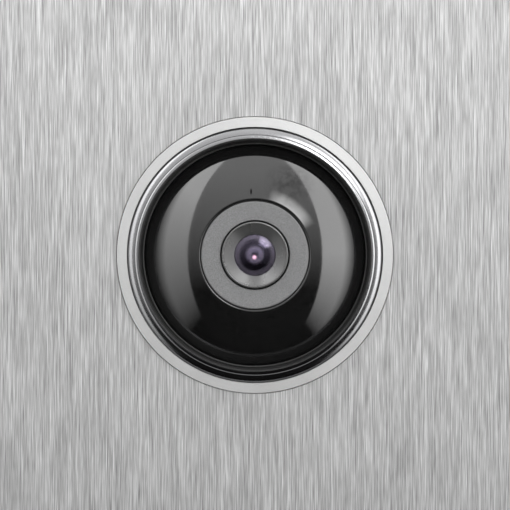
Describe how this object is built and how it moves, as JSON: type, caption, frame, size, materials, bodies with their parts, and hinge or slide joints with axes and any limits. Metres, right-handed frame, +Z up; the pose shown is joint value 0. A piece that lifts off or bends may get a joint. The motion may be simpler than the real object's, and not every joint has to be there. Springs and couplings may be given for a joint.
{
  "type": "video doorbell",
  "caption": "Wall-mounted video door station: a brushed steel plate on a box, with an adjustable eyeball camera, speaker grille, lit call button and microphone hole.",
  "frame": {"origin": "centre of the flat back that rests on the wall", "axes": "+Z up the wall, +Y into the wall, so the front faces -Y; X across"},
  "size_m": [0.12, 0.0503, 0.24],
  "materials": {
    "plate": "brushed along the height",
    "steel": "as folded",
    "fasteners": "bright plated",
    "satin_ring": "satin turned",
    "polished_ring": "polished",
    "seal_rubber": "matt",
    "cap_gloss": "high gloss",
    "disc": "fine texture",
    "lens_metal": "fine turned, black",
    "lens_glass": "coated",
    "inner_plastic": "moulded",
    "brass_parts": "turned",
    "circuit_board": "lacquered",
    "components": "moulded",
    "sensor": "glazed",
    "ribbon": "film",
    "leads": "insulated",
    "cone": "moulded film",
    "membrane": "fine black mesh",
    "magnet": "sintered",
    "coil": "enamelled copper",
    "light_ring": "milky, lit",
    "terminal_green": "moulded",
    "tin": "tinned"
  },
  "bodies": {
    "station": {"front_plate": "plate", "plate_screws": "fasteners", "stud_nuts": "fasteners", "panel_gasket": "seal_rubber", "back_box": "steel", "cable_grommet": "seal_rubber", "camera_bezel": "satin_ring", "bezel_gasket": "seal_rubber", "retaining_ring": "polished_ring", "ball_seal": "seal_rubber", "camera_housing": "inner_plastic", "housing_cover": "inner_plastic", "inner_screws": "fasteners", "pan_pins": "fasteners", "camera_ribbon": "ribbon", "speaker_membrane": "membrane", "speaker_gasket": "seal_rubber", "speaker_frame": "tin", "speaker_surround": "seal_rubber", "speaker_top_plate": "tin", "speaker_magnet": "magnet", "speaker_yoke": "tin", "speaker_clamp": "steel", "button_housing": "steel", "button_light_ring": "light_ring", "button_spring": "fasteners", "button_nut": "fasteners", "button_switch": "components", "button_board": "circuit_board", "button_lights": "light_ring", "mic_capsule": "tin", "mic_boot": "seal_rubber", "main_board": "circuit_board", "board_standoffs": "brass_parts", "board_components": "components", "terminal_block": "terminal_green", "terminal_screws": "fasteners", "shield_can": "tin", "inner_leads": "leads"},
    "camera_gimbal": {"gimbal_ring": "inner_plastic", "tilt_pins": "fasteners", "friction_washers": "fasteners"},
    "camera_head": {"camera_cap": "cap_gloss", "face_disc": "disc", "lens_barrel": "lens_metal", "lens_front_glass": "lens_glass", "lens_spacer": "lens_metal", "lens_inner_glass": "lens_glass", "lens_holder": "inner_plastic", "infrared_filter": "lens_glass", "image_sensor": "sensor", "camera_board": "circuit_board", "camera_connector": "components", "camera_carrier": "inner_plastic", "camera_screws": "fasteners"},
    "call_button": {"button_cap": "plate", "button_seal": "seal_rubber"},
    "plunger": {"switch_plunger": "inner_plastic"},
    "cone": {"speaker_cone": "cone", "voice_coil": "coil"}
  },
  "joints": [
    {"name": "camera_pan", "type": "hinge", "parent": "station", "child": "camera_gimbal", "pos_m": [0, -0.0215, 0.06], "axis": [0, 0, 1], "range_deg": [-10, 10], "deforming": ["camera_ribbon"]},
    {"name": "camera_tilt", "type": "hinge", "parent": "camera_gimbal", "child": "camera_head", "pos_m": [0, -0.0215, 0.06], "axis": [1, 0, 0], "range_deg": [-10, 10], "deforming": ["camera_ribbon"]},
    {"name": "button_press", "type": "slide", "parent": "station", "child": "call_button", "axis": [0, 1, 0], "range_m": [0, 0.0009], "stiffness_N_per_m": 900, "springref_m": -0.0015, "deforming": ["button_spring"]},
    {"name": "plunger_press", "type": "slide", "parent": "station", "child": "plunger", "axis": [0, 1, 0], "range_m": [0, 0.0009]},
    {"name": "cone_travel", "type": "slide", "parent": "station", "child": "cone", "axis": [0, 1, 0], "range_m": [-0.0005, 0.0005], "stiffness_N_per_m": 1500, "deforming": ["speaker_surround"]}
  ],
  "couplings": [
    {"joint": "plunger_press", "follows": "button_press", "ratio": 1}
  ]
}
